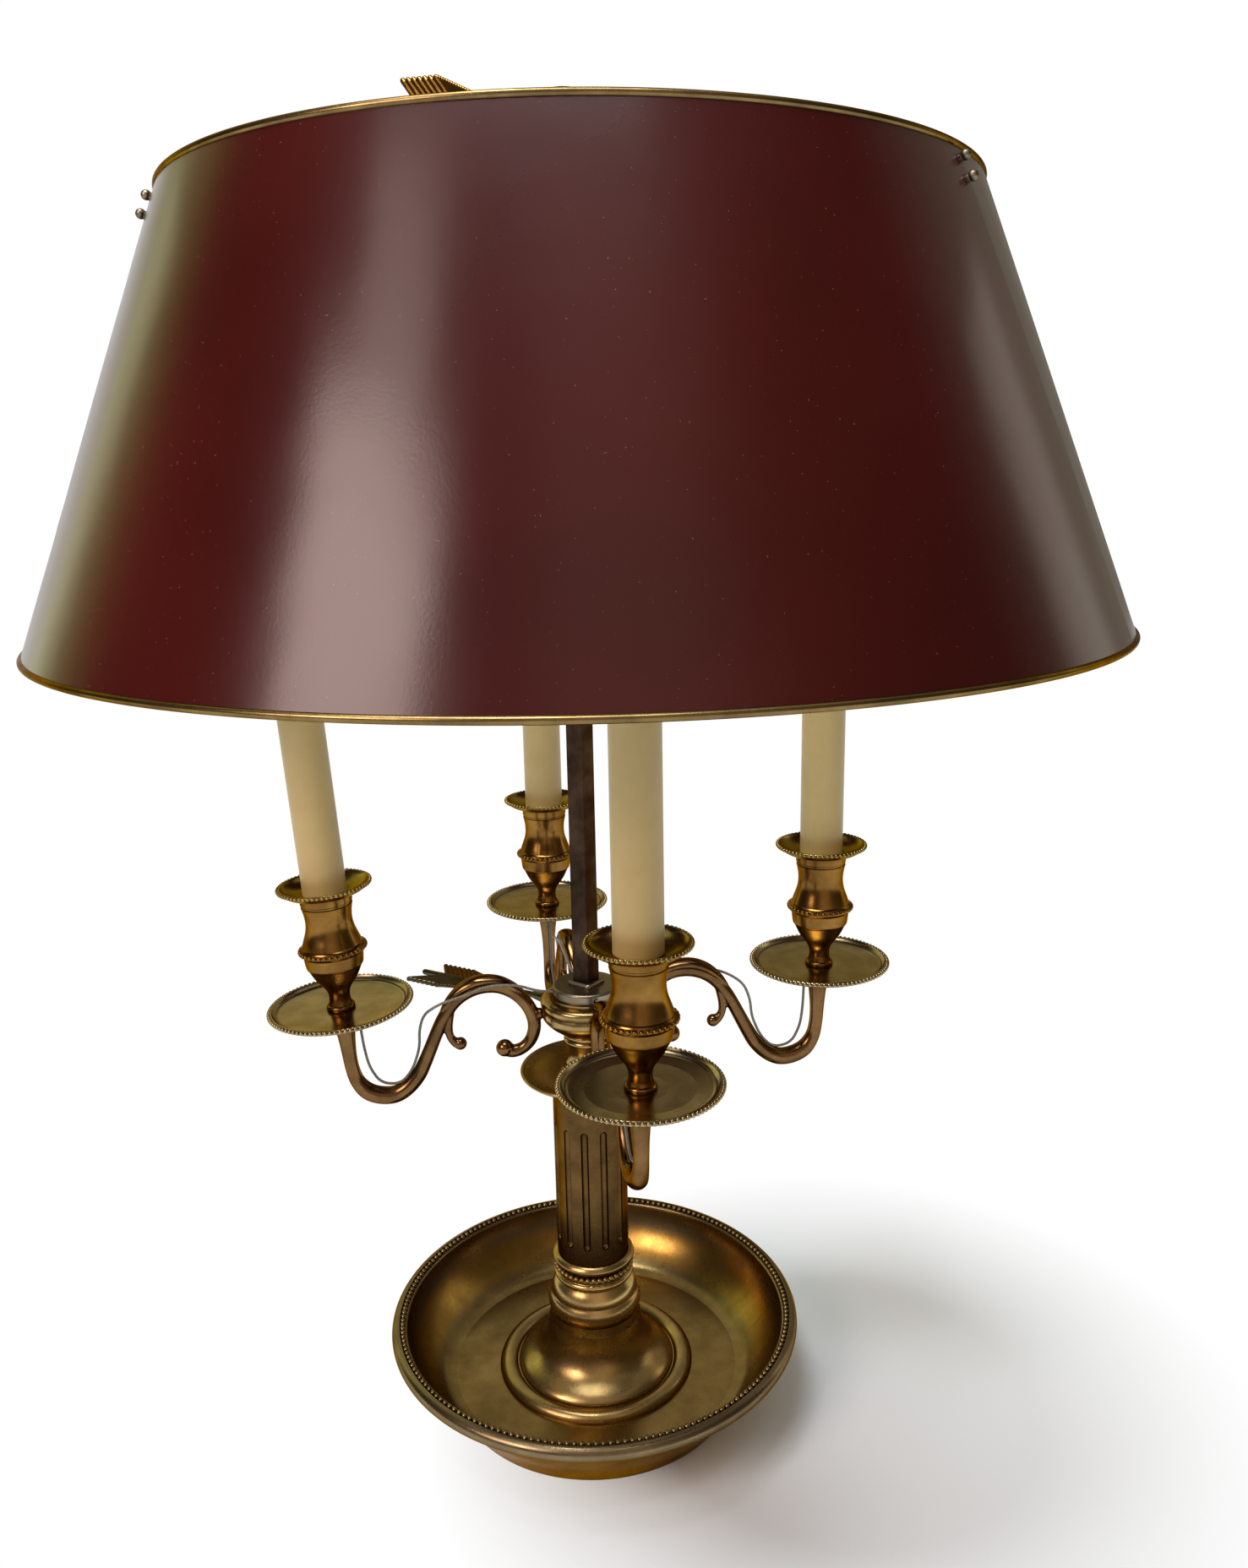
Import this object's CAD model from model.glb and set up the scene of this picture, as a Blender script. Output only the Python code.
from math import cos, pi, radians, sin, sqrt

import bmesh
import bpy
from mathutils import Matrix, Vector


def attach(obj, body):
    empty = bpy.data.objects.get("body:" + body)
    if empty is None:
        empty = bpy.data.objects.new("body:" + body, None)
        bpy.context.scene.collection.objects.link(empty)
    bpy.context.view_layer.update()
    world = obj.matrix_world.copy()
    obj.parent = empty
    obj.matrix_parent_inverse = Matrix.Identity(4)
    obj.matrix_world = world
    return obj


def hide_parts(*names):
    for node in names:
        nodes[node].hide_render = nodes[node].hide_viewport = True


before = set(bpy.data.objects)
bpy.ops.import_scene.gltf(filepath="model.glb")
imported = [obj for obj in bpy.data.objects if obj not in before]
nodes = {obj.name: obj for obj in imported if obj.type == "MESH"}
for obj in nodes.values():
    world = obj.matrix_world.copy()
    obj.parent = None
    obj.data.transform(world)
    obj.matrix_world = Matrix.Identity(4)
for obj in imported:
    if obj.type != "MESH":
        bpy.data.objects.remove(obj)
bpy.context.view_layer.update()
scene = bpy.context.scene
MM = 0.001

# ---- camera ---------------------------------------------------------------------------
IMAGE_H = 1856  # height of the photo, in its pixels
FOCAL_PX, CENTRE_Y_PX = 1515.2, 934.1
CAMERA_AT = Vector((-99.1, -713.1, 573.3)) * MM
CAMERA_AZIMUTH = 0.1381  # turn of the straight-ahead direction from +Y, towards +X
CAMERA_YAW, CAMERA_PITCH, CAMERA_ROLL = 0.0346, 0.2441, -0.0187
SENSOR = 36.0


def aim_camera():
    """Camera looking along +Y, then turned, yawed, pitched down and rolled."""
    level = Matrix(((1, 0, 0), (0, 0, -1), (0, 1, 0)))
    yaw = Matrix(((cos(CAMERA_YAW), 0, -sin(CAMERA_YAW)), (0, 1, 0),
                  (sin(CAMERA_YAW), 0, cos(CAMERA_YAW))))
    pitch = Matrix(((1, 0, 0), (0, cos(CAMERA_PITCH), -sin(CAMERA_PITCH)),
                    (0, sin(CAMERA_PITCH), cos(CAMERA_PITCH))))
    roll = Matrix(((cos(CAMERA_ROLL), -sin(CAMERA_ROLL), 0),
                   (sin(CAMERA_ROLL), cos(CAMERA_ROLL), 0), (0, 0, 1)))
    view = roll @ pitch @ yaw @ level @ Matrix.Rotation(CAMERA_AZIMUTH, 3, "Z")
    flip = Matrix(((1, 0, 0), (0, -1, 0), (0, 0, -1)))
    pose = (flip @ view).transposed().to_4x4()
    pose.translation = CAMERA_AT
    data = bpy.data.cameras.new("camera")
    data.sensor_width = SENSOR
    data.lens = FOCAL_PX * SENSOR / IMAGE_H
    data.shift_y = (CENTRE_Y_PX - IMAGE_H / 2) / IMAGE_H
    data.clip_start, data.clip_end = 0.02, 50.0
    camera = bpy.data.objects.new("camera", data)
    camera.matrix_world = pose
    scene.collection.objects.link(camera)
    scene.camera = camera


aim_camera()
scene.view_settings.view_transform = "Standard"

# ---- light and floor ------------------------------------------------------------------


def area_light(name, at, towards, size, watts, colour):
    data = bpy.data.lights.new(name, "AREA")
    data.shape = "RECTANGLE"
    data.size, data.size_y = size
    data.energy = watts
    data.color = colour
    light = bpy.data.objects.new(name, data)
    light.location = at
    light.rotation_euler = (Vector(towards) - Vector(at)).to_track_quat("-Z", "Y").to_euler()
    scene.collection.objects.link(light)


area_light("window_left", (-1.50, -1.12, 1.45), (0, 0, 0.5), (0.92, 0.80), 19, (1.0, 0.80, 0.74))
area_light("window_top", (-1.30, -0.97, 2.05), (0, 0, 0.5), (0.55, 0.45), 2.2, (1.0, 0.82, 0.76))
area_light("ceiling_left", (-0.62, -0.3, 2.5), (0, 0, 0.3), (0.9, 0.9), 27, (0.97, 0.99, 1.0))
area_light("ceiling_front", (-0.1, -0.75, 2.5), (0, -0.1, 0), (1.0, 0.8), 14, (0.97, 0.99, 1.0))
area_light("window_behind", (-1.5, 1.35, 0.85), (0, 0, 0.55), (0.4, 1.3), 1.0, (0.95, 1.0, 0.6))
area_light("room_right", (1.75, 0.35, 0.75), (0, 0, 0.45), (0.5, 1.2), 1.3, (1.0, 0.93, 0.80))


class Graph:
    """Short way to add nodes to a shader tree and link them."""

    def __init__(self, tree):
        self.tree = tree
        tree.nodes.clear()

    def add(self, kind, inputs=None, **settings):
        node = self.tree.nodes.new("ShaderNode" + kind)
        for key, value in settings.items():
            setattr(node, key, value)
        for key, value in (inputs or {}).items():
            socket = node.inputs[key]
            if isinstance(value, bpy.types.NodeSocket):
                self.tree.links.new(value, socket)
            else:
                socket.default_value = value
        return node

    def math(self, operation, a, b=0.0, clamp=False):
        return self.add("Math", {0: a, 1: b}, operation=operation, use_clamp=clamp).outputs[0]

    def remap(self, value, low, high, to_low=0.0, to_high=1.0):
        return self.add("MapRange", {"Value": value, "From Min": low, "From Max": high,
                                     "To Min": to_low, "To Max": to_high}).outputs["Result"]

    def mix(self, factor, a, b, blend="MIX"):
        node = self.add("Mix", data_type="RGBA", blend_type=blend)
        for socket, value in zip((node.inputs[0], node.inputs[6], node.inputs[7]),
                                 (factor, a, b)):
            if isinstance(value, bpy.types.NodeSocket):
                self.tree.links.new(value, socket)
            else:
                socket.default_value = value
        return node.outputs[2]

    def noise(self, scale, detail=3.0, rough=0.5, vector=None):
        inputs = {"Scale": scale, "Detail": detail, "Roughness": rough}
        inputs["Vector"] = vector or self.add("TexCoord").outputs["Object"]
        return self.add("TexNoise", inputs).outputs["Fac"]


def rgba(colour):
    return (*colour, 1.0)


def seen_directly(graph):
    """1 for camera, glossy and transmission rays, so metal and glass show the backdrop."""
    path = graph.add("LightPath")
    both = graph.math("MAXIMUM", path.outputs["Is Camera Ray"], path.outputs["Is Glossy Ray"])
    return graph.math("MAXIMUM", both, path.outputs["Is Transmission Ray"])


# tones of the room by turn from straight behind the lamp, through its left, front and right
WALL_TONES = (
    (0.090, (0.62, 0.66, 0.33)), (0.145, (0.32, 0.36, 0.12)), (0.175, (0.06, 0.05, 0.04)),
    (0.260, (0.06, 0.05, 0.04)), (0.335, (0.20, 0.17, 0.14)), (0.415, (0.12, 0.10, 0.085)),
    (0.465, (0.55, 0.43, 0.36)), (0.530, (0.52, 0.41, 0.33)), (0.600, (0.16, 0.13, 0.09)),
    (0.730, (0.06, 0.05, 0.04)), (0.785, (0.24, 0.21, 0.16)), (0.860, (0.28, 0.25, 0.19)),
    (0.930, (0.34, 0.32, 0.27)),
)
BEHIND = (0.55, 0.54, 0.48)
CEILING = (0.50, 0.48, 0.45)
CEILING_FROM, CEILING_TO = 0.72, 0.95  # upward share of the direction where it takes over
BACKDROP_TOWARDS = (-0.26, 0.965, 0.0)  # middle of the white backdrop behind the lamp
BACKDROP_FROM, BACKDROP_TO = 0.89, 0.98  # cosines of the angle from its middle


def make_world():
    """Soft room with a pale backdrop behind the lamp; plain white where it is seen directly."""
    world = bpy.data.worlds.new("studio")
    scene.world = world
    world.use_nodes = True
    graph = Graph(world.node_tree)
    outward = graph.add("TexCoord").outputs["Generated"]
    facing = graph.add("SeparateXYZ", {"Vector": outward})
    turn = graph.math("ARCTAN2", facing.outputs["X"],
                      graph.math("MULTIPLY", facing.outputs["Y"], -1.0))
    wall = graph.add("ValToRGB", {"Fac": graph.remap(turn, -pi, pi)})
    for end, position in zip(wall.color_ramp.elements, (0.0, 1.0)):
        end.position, end.color = position, rgba(BEHIND)
    for position, colour in WALL_TONES:
        wall.color_ramp.elements.new(position).color = rgba(colour)
    above = graph.remap(facing.outputs["Z"], CEILING_FROM, CEILING_TO)
    room = graph.mix(above, wall.outputs["Color"], rgba(CEILING))
    soft = graph.add("Background", {"Color": room, "Strength": 1.0})
    white = graph.add("Background", {"Color": rgba((1, 1, 1)), "Strength": 1.0})
    path = graph.add("LightPath")
    towards = graph.add("VectorMath", {0: outward, 1: BACKDROP_TOWARDS},
                        operation="DOT_PRODUCT").outputs["Value"]
    backdrop = graph.remap(towards, BACKDROP_FROM, BACKDROP_TO)
    mirrored = graph.math("MULTIPLY", path.outputs["Is Glossy Ray"], backdrop)
    direct = graph.math("MAXIMUM", path.outputs["Is Camera Ray"],
                        path.outputs["Is Transmission Ray"])
    shader = graph.add("MixShader", {0: graph.math("MAXIMUM", direct, mirrored),
                                     1: soft.outputs[0], 2: white.outputs[0]})
    graph.add("OutputWorld", {"Surface": shader.outputs[0]})


make_world()

FLOOR_HALF = 6.0
FLOOR_COLOUR = (0.865, 0.92, 0.98)
FADE_FROM, FADE_TO = 0.12, 0.26  # distances over which the floor turns into the backdrop
SHADOW_SIDE = (0.15, -0.05, 0.0)  # middle of the area where the floor keeps most of its shadow


def make_floor():
    mesh = bpy.data.meshes.new("floor")
    corners = [(x, y, 0) for x, y in ((-1, -1), (1, -1), (1, 1), (-1, 1))]
    mesh.from_pydata([Vector(c) * FLOOR_HALF for c in corners], [], [(0, 1, 2, 3)])
    floor = bpy.data.objects.new("floor", mesh)
    scene.collection.objects.link(floor)
    material = bpy.data.materials.new("floor_white")
    material.use_nodes = True
    graph = Graph(material.node_tree)
    reach = graph.add("VectorMath", {0: graph.add("TexCoord").outputs["Object"], 1: SHADOW_SIDE},
                      operation="DISTANCE").outputs["Value"]
    fade = graph.remap(reach, FADE_FROM, FADE_TO)
    shown = graph.math("MULTIPLY", fade, seen_directly(graph))
    diffuse = graph.add("BsdfDiffuse", {"Color": rgba(FLOOR_COLOUR)})
    white = graph.add("Emission", {"Color": rgba((1, 1, 1)), "Strength": 1.0})
    shader = graph.add("MixShader", {0: shown, 1: diffuse.outputs[0], 2: white.outputs[0]})
    graph.add("OutputMaterial", {"Surface": shader.outputs[0]})
    mesh.materials.append(material)


make_floor()

# ---- materials ------------------------------------------------------------------------


def new_material(name):
    material = bpy.data.materials.new(name)
    material.use_nodes = True
    return material, Graph(material.node_tree)


EDGE_TINT = (0.46, 0.32, 0.18)  # of metal seen at a shallow angle


def metal(name, bright, dull, rough=(0.16, 0.34), patch=45.0, grain=420.0, relief=0.04,
          crevice=0.004, crevice_shade=0.45):
    """Old brass or bronze: two tones in patches, uneven polish, dark in its crevices."""
    material, graph = new_material(name)
    patches = graph.noise(patch, 5.0, 0.6)
    specks = graph.noise(grain, 3.0, 0.6)
    worn = graph.remap(patches, 0.36, 0.66)
    colour = graph.mix(worn, rgba(dull), rgba(bright))
    near = graph.add("AmbientOcclusion", {"Distance": crevice}, samples=16).outputs["AO"]
    deep = graph.remap(near, 0.25, 0.85, crevice_shade, 1.0)
    colour = graph.mix(1.0, colour, deep, "MULTIPLY")
    polish = graph.remap(graph.math("ADD", patches, graph.math("MULTIPLY", specks, 0.5)),
                         0.5, 1.0, rough[1], rough[0])
    bump = graph.add("Bump", {"Height": specks, "Strength": relief, "Distance": 0.0004})
    shader = graph.add("BsdfPrincipled", {
        "Base Color": colour, "Metallic": 1.0, "Roughness": polish,
        "Specular Tint": rgba(EDGE_TINT), "Normal": bump.outputs["Normal"]})
    graph.add("OutputMaterial", {"Surface": shader.outputs[0]})
    return material


# limits of the tones of the base, in metres
ROLL_UNDER = (0.034, 0.040)  # height at which the wall's gold gives way to the dark roll
BOWL_EDGE = (0.1185, 0.1205)  # reach from the axis at which the bowl ends
FOOT_TOP = (0.016, 0.008)  # height below which all is wall
WALL_SLOPE, WALL_LINE = 0.62, (-0.0885, -0.0905)  # cone between the bowl and the wall outside


def base_brass():
    """Satin bowl, dark outer roll with worn bright spots, golden wall under it."""
    material, graph = new_material("base_brass")
    place = graph.add("TexCoord").outputs["Object"]
    part = graph.add("SeparateXYZ", {"Vector": place})
    flat = graph.add("CombineXYZ", {"X": part.outputs["X"], "Y": part.outputs["Y"]})
    reach = graph.add("VectorMath", {0: flat.outputs[0]}, operation="LENGTH").outputs["Value"]
    patches = graph.noise(38.0, 5.0, 0.6)
    specks = graph.noise(420.0, 3.0, 0.6)
    worn = graph.remap(patches, 0.36, 0.66)
    bowl = graph.mix(worn, rgba((0.195, 0.132, 0.052)), rgba((0.31, 0.215, 0.085)))
    roll = graph.mix(worn, rgba((0.19, 0.140, 0.078)), rgba((0.27, 0.200, 0.110)))
    wall = graph.mix(worn, rgba((0.30, 0.175, 0.040)), rgba((0.46, 0.275, 0.065)))
    outer = graph.mix(graph.remap(part.outputs["Z"], *ROLL_UNDER), wall, roll)
    outside = graph.math("MAXIMUM", graph.remap(reach, *BOWL_EDGE),
                         graph.remap(part.outputs["Z"], *FOOT_TOP))
    outside = graph.math("MAXIMUM", outside, graph.remap(
        graph.math("SUBTRACT", graph.math("MULTIPLY", part.outputs["Z"], WALL_SLOPE), reach),
        *WALL_LINE))
    colour = graph.mix(outside, bowl, outer)
    near = graph.add("AmbientOcclusion", {"Distance": 0.004}, samples=16).outputs["AO"]
    colour = graph.mix(1.0, colour, graph.remap(near, 0.2, 0.8, 0.6, 1.0), "MULTIPLY")
    polish = graph.remap(graph.math("ADD", patches, graph.math("MULTIPLY", specks, 0.5)),
                         0.5, 1.0, 0.36, 0.23)
    bump = graph.add("Bump", {"Height": specks, "Strength": 0.05, "Distance": 0.0004})
    shader = graph.add("BsdfPrincipled", {
        "Base Color": colour, "Metallic": 1.0, "Roughness": polish,
        "Specular Tint": rgba(EDGE_TINT), "Normal": bump.outputs["Normal"]})
    graph.add("OutputMaterial", {"Surface": shader.outputs[0]})
    return material


def plain(name, light, dark, rough, scale, relief, metallic=0.0, distance=0.0003,
          sheen=0.0, subsurface=0.0):
    """Non-metal or dull surface with a fine grain and two close tones."""
    material, graph = new_material(name)
    grain = graph.noise(scale, 4.0, 0.6)
    colour = graph.mix(graph.remap(grain, 0.3, 0.7), rgba(dark), rgba(light))
    bump = graph.add("Bump", {"Height": grain, "Strength": relief, "Distance": distance})
    polish = graph.remap(grain, 0.3, 0.7, rough[0], rough[1])
    shader = graph.add("BsdfPrincipled", {
        "Base Color": colour, "Roughness": polish, "Metallic": metallic,
        "Sheen Weight": sheen, "Subsurface Weight": subsurface,
        "Normal": bump.outputs["Normal"]})
    graph.add("OutputMaterial", {"Surface": shader.outputs[0]})
    return material


def shade_paint():
    """Oxblood paint with a soft gloss, brush-smooth but not flat, and a few dust specks."""
    material, graph = new_material("shade_paint")
    cloud = graph.noise(7.0, 2.0, 0.5)
    colour = graph.mix(graph.remap(cloud, 0.35, 0.65), rgba((0.037, 0.0016, 0.0013)),
                       rgba((0.051, 0.0026, 0.0021)))
    dust = graph.noise(900.0, 1.0, 0.5)
    colour = graph.mix(graph.remap(dust, 0.765, 0.80, 0.0, 0.35), colour,
                       rgba((0.30, 0.20, 0.16)))
    waves = graph.noise(16.0, 2.0, 0.5)
    fine = graph.noise(700.0, 2.0, 0.5)
    height = graph.math("ADD", waves, graph.math("MULTIPLY", fine, 0.05))
    bump = graph.add("Bump", {"Height": height, "Strength": 0.10, "Distance": 0.004})
    polish = graph.remap(cloud, 0.3, 0.7, 0.20, 0.24)
    shader = graph.add("BsdfPrincipled", {
        "Base Color": colour, "Roughness": polish, "Normal": bump.outputs["Normal"]})
    graph.add("OutputMaterial", {"Surface": shader.outputs[0]})
    return material


BULB_IOR = 1.15  # below real glass, because each bulb is one solid body


def glass(name):
    material, graph = new_material(name)
    haze = graph.remap(graph.noise(60.0, 2.0), 0.3, 0.7, 0.01, 0.05)
    shader = graph.add("BsdfPrincipled", {
        "Base Color": rgba((0.97, 0.96, 0.93)), "Roughness": haze,
        "Transmission Weight": 1.0, "IOR": BULB_IOR})
    graph.add("OutputMaterial", {"Surface": shader.outputs[0]})
    return material


AGED_BRASS = metal("aged_brass", (0.48, 0.32, 0.12), (0.30, 0.205, 0.085), (0.22, 0.36),
                   crevice_shade=0.6)
BASE_BRASS = base_brass()
BEAD_BRASS = metal("bead_brass", (0.33, 0.235, 0.11), (0.20, 0.145, 0.07), (0.18, 0.30),
                   crevice=0.002, crevice_shade=0.12)
COLUMN_BRASS = metal("column_brass", (0.165, 0.092, 0.030), (0.092, 0.052, 0.019), (0.20, 0.34))
BRONZE = metal("bronze_patina", (0.34, 0.28, 0.195), (0.20, 0.17, 0.125), (0.28, 0.44))
KEY_BRONZE = metal("key_bronze", (0.13, 0.108, 0.062), (0.065, 0.055, 0.035), (0.24, 0.42))
ARM_BRASS = metal("arm_brass", (0.24, 0.135, 0.052), (0.13, 0.07, 0.030), (0.15, 0.28))
GILT_BRASS = metal("gilt_brass", (0.32, 0.168, 0.040), (0.18, 0.09, 0.022), (0.17, 0.29))
FOOT_GOLD = metal("foot_gold", (0.66, 0.46, 0.18), (0.44, 0.30, 0.115), (0.20, 0.34),
                  crevice_shade=0.6)
DISH_BRASS = metal("dish_brass", (0.44, 0.31, 0.105), (0.29, 0.20, 0.065), (0.17, 0.29))
PAN_BRASS = metal("pan_brass", (0.47, 0.375, 0.20), (0.35, 0.28, 0.15), (0.17, 0.28), 60.0,
                  crevice=0.002, crevice_shade=0.15)
RIM_BRASS = metal("rim_brass", (0.30, 0.205, 0.080), (0.17, 0.115, 0.048), (0.20, 0.32))
HUB_BRASS = metal("hub_brass", (0.50, 0.36, 0.15), (0.30, 0.21, 0.09), (0.16, 0.28))
ROD_METAL = metal("rod_patina", (0.085, 0.052, 0.034), (0.034, 0.021, 0.015), (0.26, 0.42),
                  60.0)
PAINT = shade_paint()
IVORY = plain("ivory_sleeve", (0.68, 0.50, 0.21), (0.63, 0.45, 0.175), (0.34, 0.42), 60.0, 0.03,
              subsurface=0.06)
HOLDER = plain("holder_plastic", (0.055, 0.05, 0.045), (0.03, 0.028, 0.026), (0.5, 0.6), 500.0,
               0.15)
BULB_GLASS = glass("bulb_glass")
WIRE = plain("wire_grey", (0.24, 0.22, 0.18), (0.15, 0.135, 0.11), (0.38, 0.48), 700.0, 0.1)
STEEL = plain("steel", (0.50, 0.49, 0.47), (0.34, 0.33, 0.31), (0.28, 0.4), 700.0, 0.1,
              metallic=1.0)
FELT = plain("felt", (0.055, 0.09, 0.05), (0.028, 0.05, 0.028), (0.9, 1.0), 1400.0, 1.0,
             distance=0.001, sheen=0.4)
IRON = plain("weight_iron", (0.10, 0.10, 0.10), (0.05, 0.05, 0.05), (0.6, 0.8), 300.0, 0.6)

NODE_MATERIALS = {
    "base_dish": BASE_BRASS, "base_rim_beads": BEAD_BRASS, "foot_dome": AGED_BRASS,
    "foot_collar": FOOT_GOLD, "collar_bead_ring": AGED_BRASS, "column": COLUMN_BRASS,
    "column_disc": AGED_BRASS, "square_rod": ROD_METAL, "arm_hub": HUB_BRASS,
    "hub_cap": BRONZE, "hub_key": KEY_BRONZE, "shade_key": GILT_BRASS, "shade_carrier": ROD_METAL,
    "shade_spider": GILT_BRASS, "shade_rivets": BRONZE, "shade_top_rim": RIM_BRASS,
    "shade_bottom_rim": RIM_BRASS, "base_felt": FELT, "base_weight": IRON,
    "base_washer": STEEL, "base_nut": STEEL, "arm_screws": STEEL, "cup_nipples": STEEL,
    "cable_bush": HOLDER, "shade_panel": PAINT, "arm_wire": WIRE, "arm": ARM_BRASS,
    "drip_pan": PAN_BRASS, "candle_cup": GILT_BRASS, "cup_dish": DISH_BRASS,
    "candle_sleeve": IVORY, "lamp_holder": HOLDER, "bulb": BULB_GLASS,
}
for name, cad_object in nodes.items():
    stem = name if name in NODE_MATERIALS else name.rsplit("_", 1)[0]
    cad_object.data.materials.clear()
    cad_object.data.materials.append(NODE_MATERIALS[stem])

# ---- mesh helpers ---------------------------------------------------------------------
ARM_REACH, ARM_ROOT = 144.0, (27.0, 257.0)
ARM_TURNS = {"front": -87.7, "right": -2.5, "back": 92.5, "left": 177.7}
ARM_DROOPS = {"front": 0.0, "right": 0.0, "back": 0.0, "left": 3.4}


def arm_place(arm):
    """Place of an arm's own frame, X outward and Z up, with the droop about its seat."""
    root = Matrix.Translation(Vector((ARM_ROOT[0], 0, ARM_ROOT[1])) * MM)
    turn = Matrix.Rotation(radians(ARM_TURNS[arm]), 4, "Z")
    droop = Matrix.Rotation(radians(ARM_DROOPS[arm]), 4, "Y")
    return turn @ root @ droop @ root.inverted()


def object_of(name, mesh, material, body, place=None):
    piece = bpy.data.objects.new(name, mesh)
    scene.collection.objects.link(piece)
    if place is not None:
        piece.matrix_world = place
    if not mesh.materials:
        mesh.materials.append(material)
    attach(piece, body)
    return piece


def mesh_from(name, bm):
    """Mesh in metres from a bmesh in millimetres, shaded smooth."""
    bmesh.ops.recalc_face_normals(bm, faces=bm.faces)
    bmesh.ops.scale(bm, vec=(MM, MM, MM), verts=bm.verts)
    mesh = bpy.data.meshes.new(name)
    bm.to_mesh(mesh)
    bm.free()
    mesh.polygons.foreach_set("use_smooth", [True] * len(mesh.polygons))
    return mesh


def skin(bm, rings, closed=False):
    """Faces between rings of vertices, with the two ends capped unless the rings close."""
    count = len(rings[0])
    pairs = list(zip(rings, rings[1:])) + ([(rings[-1], rings[0])] if closed else [])
    for ring, following in pairs:
        for i in range(count):
            j = (i + 1) % count
            bm.faces.new((ring[i], ring[j], following[j], following[i]))
    if not closed:
        bm.faces.new(rings[0])
        bm.faces.new(rings[-1])


def smooth_path(points, steps):
    """Points on a smooth curve through the given ones; each may carry extra values."""
    path = []
    padded = [points[0]] + list(points) + [points[-1]]
    for a, b, c, d in zip(padded, padded[1:], padded[2:], padded[3:]):
        for step in range(steps):
            t = step / steps
            path.append([
                0.5 * (2 * q + (r - p) * t + (2 * p - 5 * q + 4 * r - s) * t ** 2
                       + (3 * q - p - 3 * r + s) * t ** 3)
                for p, q, r, s in zip(a, b, c, d)])
    path.append(list(points[-1]))
    return path


def flat_sweep(bm, stations, sides=14):
    """Sweep in the arm's XZ plane: stations of (x, z, half thickness, half width)."""
    rings = []
    for i, (x, z, thick, wide) in enumerate(stations):
        before, after = stations[max(i - 1, 0)], stations[min(i + 1, len(stations) - 1)]
        along = Vector((after[0] - before[0], 0, after[1] - before[1])).normalized()
        normal = Vector((along.z, 0, -along.x))
        ring = []
        for k in range(sides):
            angle = 2 * pi * k / sides
            at = Vector((x, 0, z)) + normal * (thick * cos(angle))
            at.y += wide * sin(angle)
            ring.append(bm.verts.new(at))
        rings.append(ring)
    skin(bm, rings)


def ball(bm, centre, radius, squash=(1, 1, 1), detail=3):
    place = Matrix.Translation(centre) @ Matrix.Diagonal((*squash, 1))
    bmesh.ops.create_icosphere(bm, subdivisions=detail, radius=radius, matrix=place)


def bead_ring(name, ring_r, z, bead_r, count):
    """Ring of separate small beads about the Z axis."""
    bm = bmesh.new()
    for i in range(count):
        angle = 2 * pi * i / count
        ball(bm, (ring_r * cos(angle), ring_r * sin(angle), z), bead_r, detail=2)
    return mesh_from(name, bm)


def lathe(name, profile, segments=96):
    """Solid of revolution about the Z axis from a closed profile of (radius, z)."""
    bm = bmesh.new()
    rings = []
    for i in range(segments):
        angle = 2 * pi * i / segments
        rings.append([bm.verts.new((r * cos(angle), r * sin(angle), z)) for r, z in profile])
    skin(bm, rings, closed=True)
    return mesh_from(name, bm)


def fused(name, bm, voxel, smoothing=4):
    """Overlapping lumps joined into one skin with softened inner corners, like a casting."""
    lump = bpy.data.objects.new(name, mesh_from(name + "_lumps", bm))
    scene.collection.objects.link(lump)
    remesh = lump.modifiers.new("remesh", "REMESH")
    remesh.mode, remesh.voxel_size, remesh.use_smooth_shade = "VOXEL", voxel * MM, True
    soften = lump.modifiers.new("soften", "SMOOTH")
    soften.factor, soften.iterations = 0.5, smoothing
    bpy.context.view_layer.update()
    graph = bpy.context.evaluated_depsgraph_get()
    mesh = bpy.data.meshes.new_from_object(lump.evaluated_get(graph))
    mesh.name = name
    lumps = lump.data
    bpy.data.objects.remove(lump)
    bpy.data.meshes.remove(lumps)
    return mesh


# ---- arms -----------------------------------------------------------------------------
# stations along an arm, from the drip pan to the end of the scroll: out, up, radius
ARM_LINE = (
    (143.6, 275.4, 7.7), (143.5, 268.0, 6.6), (143.3, 258.0, 5.2), (143.2, 248.0, 4.4),
    (142.6, 238.0, 4.2), (140.6, 229.0, 4.5), (135.6, 221.5, 5.2), (128.0, 217.6, 5.4),
    (119.3, 217.0, 5.3), (111.4, 220.8, 5.0), (104.4, 227.6, 4.6), (99.6, 235.6, 4.3),
    (95.0, 244.6, 4.1), (90.6, 253.4, 4.0), (86.0, 261.6, 4.0), (80.6, 268.8, 3.9),
    (74.2, 274.2, 3.9), (66.4, 277.6, 4.0), (58.4, 278.6, 4.1), (50.4, 277.2, 4.2),
    (42.4, 272.4, 4.25), (36.4, 265.2, 4.25), (33.0, 257.0, 4.2), (32.6, 248.6, 4.0),
    (35.4, 241.2, 3.8), (40.6, 236.4, 3.7), (46.6, 235.0, 4.0), (52.0, 237.4, 4.5),
)
# the leaf laid along the top of the arm: out, up, half thickness, half width
LEAF_LINE = (
    (88.6, 262.0, 0.5, 1.2), (85.4, 267.4, 1.6, 2.8), (80.6, 273.2, 2.5, 4.2),
    (73.8, 278.8, 3.1, 5.0), (65.6, 282.2, 3.3, 5.3), (57.4, 282.6, 3.2, 5.2),
    (49.4, 280.6, 2.8, 4.8), (42.2, 276.2, 2.2, 4.0), (36.4, 270.6, 1.4, 2.8),
    (32.0, 264.4, 0.5, 1.2),
)
TENDRIL_LINE = (
    (80.0, 270.0, 2.6), (82.4, 262.6, 2.9), (83.6, 255.4, 2.7), (83.0, 249.4, 2.4),
    (80.6, 245.6, 2.9), (77.8, 243.8, 3.4),
)
SCROLL_BALL, TENDRIL_BALL = (51.6, 237.6, 5.3), (77.6, 244.2, 3.9)
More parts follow.
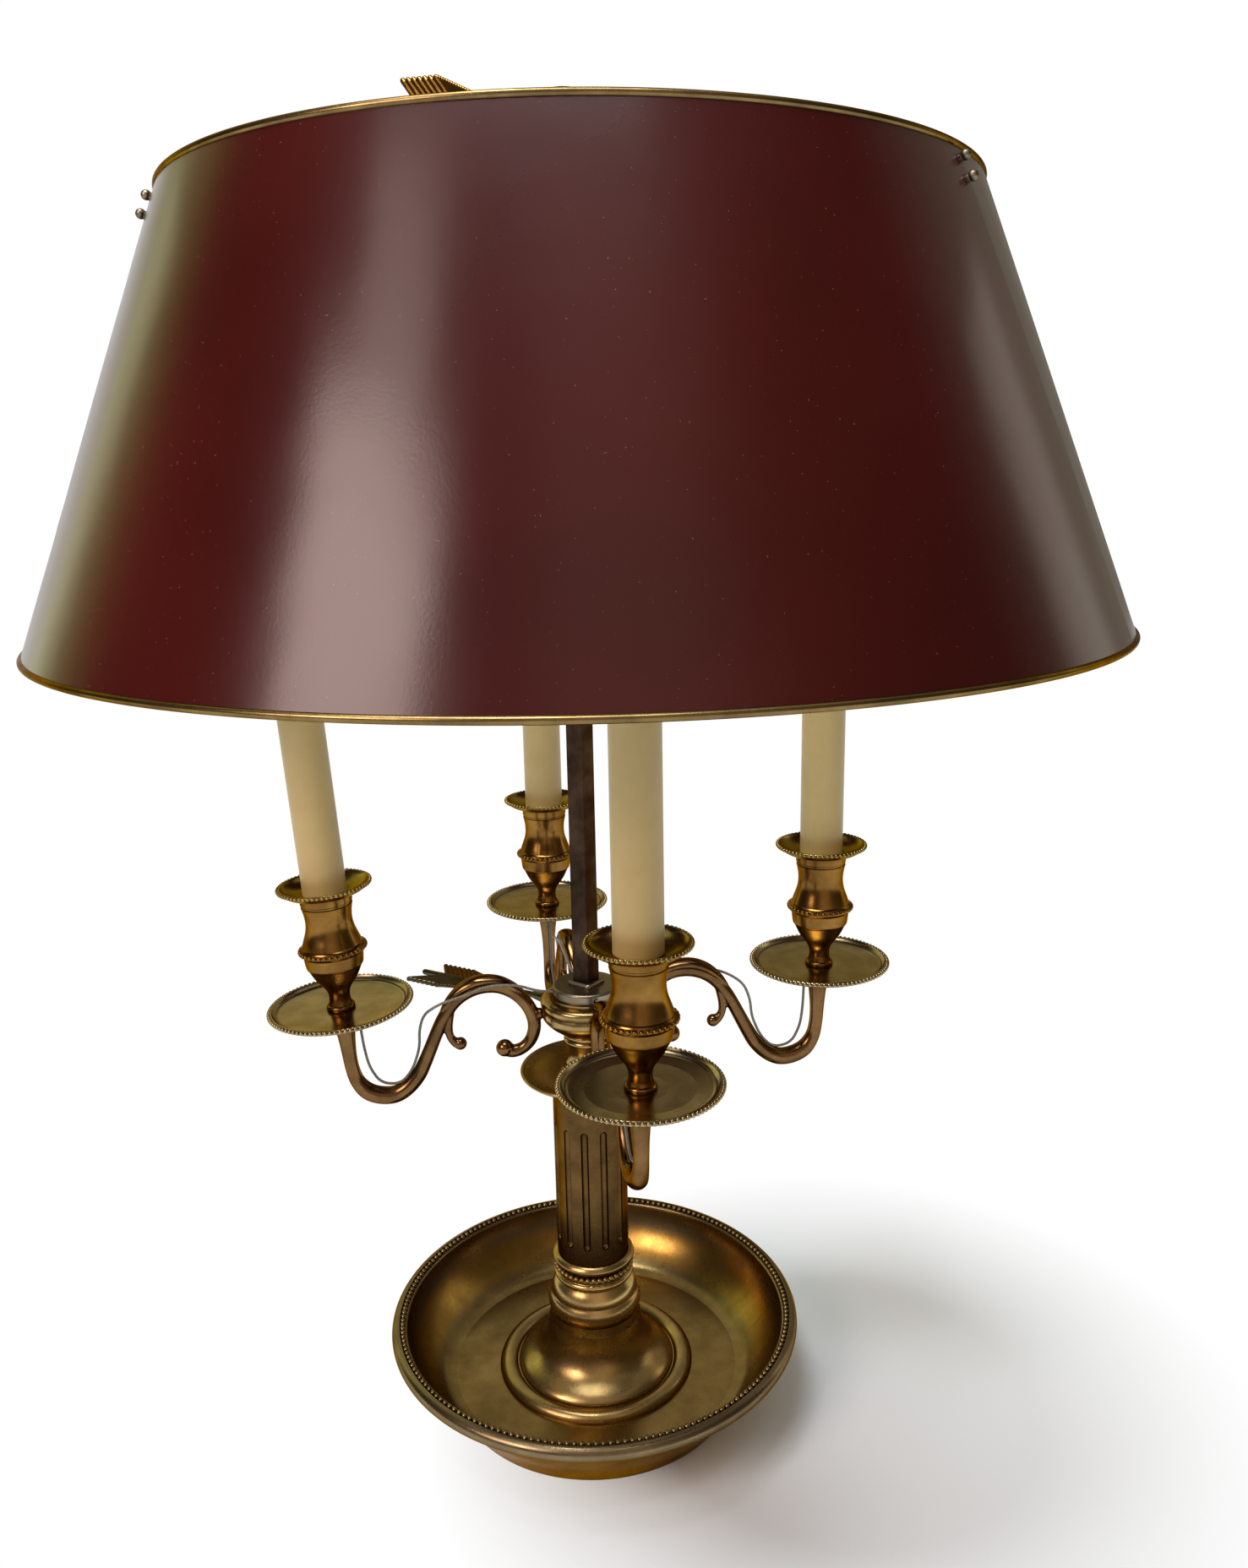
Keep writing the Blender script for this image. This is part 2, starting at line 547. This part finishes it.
LUG_FROM, LUG_TO, LUG_R = 27.0, 34.0, 3.4


def make_arms():
    bm = bmesh.new()
    flat_sweep(bm, [(x, z, r, r) for x, z, r in smooth_path(ARM_LINE, 6)], 20)
    flat_sweep(bm, smooth_path(LEAF_LINE, 6), 20)
    flat_sweep(bm, [(x, z, r, r) for x, z, r in smooth_path(TENDRIL_LINE, 6)], 16)
    for x, z, radius in (SCROLL_BALL, TENDRIL_BALL):
        ball(bm, (x, 0, z), radius)
    flat_sweep(bm, [(x, ARM_ROOT[1], LUG_R, LUG_R) for x in (LUG_FROM, LUG_TO)], 20)
    mesh = fused("arm_casting", bm, 0.55, 3)
    for arm in ARM_TURNS:
        piece = object_of("cast_arm_" + arm, mesh, ARM_BRASS, "cluster",
                          arm_place(arm))
        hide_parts("arm_" + arm)


make_arms()

# ---- arrow keys -----------------------------------------------------------------------
KEY_TURN = 135.0
KEY_TIP, KEY_SCREW_R, KEY_SHAFT_R = 6.1, 2.5, 1.9
KEY_HEAD_R, KEY_HEAD_LENGTH, KEY_HEAD_GAP, NOCK_LENGTH = 5.2, 14.0, 0.8, 4.0
VANE_LENGTH, VANE_NOTCH, VANE_HALF = 66.0, 16.0, 19.3
BARB_PITCH, BARB_R, BARB_LEAN = 4.1, 1.75, 1.0
LOBE_START = 42.0  # where the smooth front lobe of the feather begins on the shaft
LOBE_STEPS, LOBE_R = 22, 1.6


def rod(bm, a, b, radius_a, radius_b, sides=16):
    """Tapered round bar from a to b."""
    a, b = Vector(a), Vector(b)
    turn = (b - a).to_track_quat("Z", "Y").to_matrix()
    rings = []
    for at, radius in ((a, radius_a), (b, radius_b)):
        rings.append([bm.verts.new(at + turn @ Vector(
            (radius * cos(2 * pi * k / sides), radius * sin(2 * pi * k / sides), 0)))
            for k in range(sides)])
    skin(bm, rings)


def make_key(name, node, material, slot, body, seat, nock, z, rise, roll):
    """Arrow-shaped thumbscrew: X runs outward along the shaft, the feather lies in XZ."""
    bm = bmesh.new()
    head = seat + KEY_HEAD_GAP
    rod(bm, (KEY_TIP, 0, 0), (head + 1, 0, 0), KEY_SCREW_R, KEY_SCREW_R)
    rod(bm, (head, 0, 0), (head + 3, 0, 0), KEY_HEAD_R, KEY_HEAD_R - 0.4, 24)
    rod(bm, (head + 2.5, 0, 0), (head + KEY_HEAD_LENGTH, 0, 0), KEY_HEAD_R - 1.0, KEY_SHAFT_R, 24)
    rod(bm, (head + KEY_HEAD_LENGTH - 1, 0, 0), (nock + NOCK_LENGTH, 0, 0), KEY_SHAFT_R,
        KEY_SHAFT_R)
    ball(bm, (nock + NOCK_LENGTH, 0, 0), KEY_SHAFT_R, detail=2)
    for side in (1, -1):
        for k in range(int((LOBE_START - VANE_NOTCH) / BARB_PITCH) + 1):
            at = nock - VANE_NOTCH - k * BARB_PITCH
            reach = VANE_HALF - BARB_R
            tip = Vector((at + reach * BARB_LEAN, 0, reach * side))
            rod(bm, (at, 0, 0.4 * side), tip, BARB_R, BARB_R * 0.95, 12)
            ball(bm, tip, BARB_R * 0.95, detail=2)
        for k in range(LOBE_STEPS + 1):
            share = k / LOBE_STEPS
            at = nock - LOBE_START - share * (VANE_LENGTH - LOBE_START)
            reach = (VANE_HALF - LOBE_R) * sqrt(1 - share) * (1 - 0.25 * share)
            tip = Vector((at + reach * BARB_LEAN, 0, reach * side))
            rod(bm, (at, 0, 0.3 * side), tip, LOBE_R, LOBE_R * 0.8, 12)
            ball(bm, tip, LOBE_R * 0.8, detail=2)
    mesh = fused(name, bm, 0.42, 1)
    place = (Matrix.Translation((0, 0, z * MM)) @ Matrix.Rotation(radians(KEY_TURN), 4, "Z")
             @ Matrix.Rotation(radians(-rise), 4, "Y") @ Matrix.Rotation(radians(roll), 4, "X"))
    piece = object_of(name, mesh, material, body, place)
    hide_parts(node)


HUB_KEY = {"seat": 27.9, "nock": 130.0, "z": 259.5, "rise": -3.0, "roll": 95.0}
SHADE_KEY = {"seat": 10.5, "nock": 111.0, "z": 755.5, "rise": 6.0, "roll": 0.0}
make_key("arrow_key_cluster", "hub_key", KEY_BRONZE, "bronze_patina", "hub_key", **HUB_KEY)
make_key("arrow_key_shade", "shade_key", GILT_BRASS, "gilt_brass", "shade_key", **SHADE_KEY)

# ---- shade rims -----------------------------------------------------------------------
SHADE_OFF = (4.4, -1.0)
RIM_TUBE_R = 1.75
TOP_RIM, BOTTOM_RIM = (205.2, 707.4), (288.2, 490.7)  # radius, height


def round_section(ring_r, z, tube_r, sides=16):
    """Closed round profile for a lathed tube."""
    return [(ring_r + tube_r * cos(2 * pi * k / sides), z + tube_r * sin(2 * pi * k / sides))
            for k in range(sides)]


def make_rim(node, ring_r, z):
    tube = lathe(node + "_tube", round_section(ring_r, z, RIM_TUBE_R), 240)
    off = Matrix.Translation((SHADE_OFF[0] * MM, SHADE_OFF[1] * MM, 0))
    piece = object_of(node + "_tube", tube, RIM_BRASS, "shade", off)
    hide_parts(node)


make_rim("shade_top_rim", *TOP_RIM)
make_rim("shade_bottom_rim", *BOTTOM_RIM)

# ---- bead rings -----------------------------------------------------------------------
# rings of beads: radius of the ring, height, radius of a bead, count
BASE_BEADS, COLLAR_BEADS = (122.1, 52.7, 1.75, 190), (23.5, 86.2, 1.85, 40)
PAN_BEADS, BELLY_BEADS = (41.2, 279.3, 1.35, 92), (18.5, 314.5, 1.55, 36)
DISH_BEADS = (26.1, 353.1, 1.2, 62)
PAN_LINE = (37.6, 278.3, 0.5, 10)  # radius of the raised line, height, its thickness, its sides
base_beads = object_of("base_beads", bead_ring("base_beads", *BASE_BEADS), BEAD_BRASS,
                       "base")
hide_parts("base_rim_beads")
pan_beads = bead_ring("pan_beads", *PAN_BEADS)
pan_line = lathe("pan_line", round_section(*PAN_LINE))
belly_beads = bead_ring("belly_beads", *BELLY_BEADS)
dish_beads = bead_ring("dish_beads", *DISH_BEADS)
for arm in ARM_TURNS:
    place = arm_place(arm) @ Matrix.Translation((ARM_REACH * MM, 0, 0))
    for label, mesh, material, slot in (
            ("pan_beads", pan_beads, PAN_BRASS, "pan_brass"),
            ("pan_line", pan_line, BRONZE, "pan_brass"),
            ("belly_beads", belly_beads, GILT_BRASS, "gilt_brass"),
            ("dish_beads", dish_beads, DISH_BRASS, "gilt_brass")):
        object_of(f"{label}_{arm}", mesh, material, "cluster", place)

COLLAR_PROFILE = (
    (8.0, 83.2), (23.4, 83.2), (22.8, 84.2), (22.5, 86.2), (22.8, 88.2), (23.6, 88.9),
    (24.2, 89.6), (25.3, 90.6), (25.8, 92.0), (25.3, 93.4), (24.4, 94.1), (24.2, 94.6),
    (8.0, 94.6),
)
collar_ring = object_of("collar_ring", lathe("collar_ring", COLLAR_PROFILE), AGED_BRASS, "base")
collar_beads = object_of("collar_beads", bead_ring("collar_beads", *COLLAR_BEADS),
                         AGED_BRASS, "base")
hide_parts("collar_bead_ring")
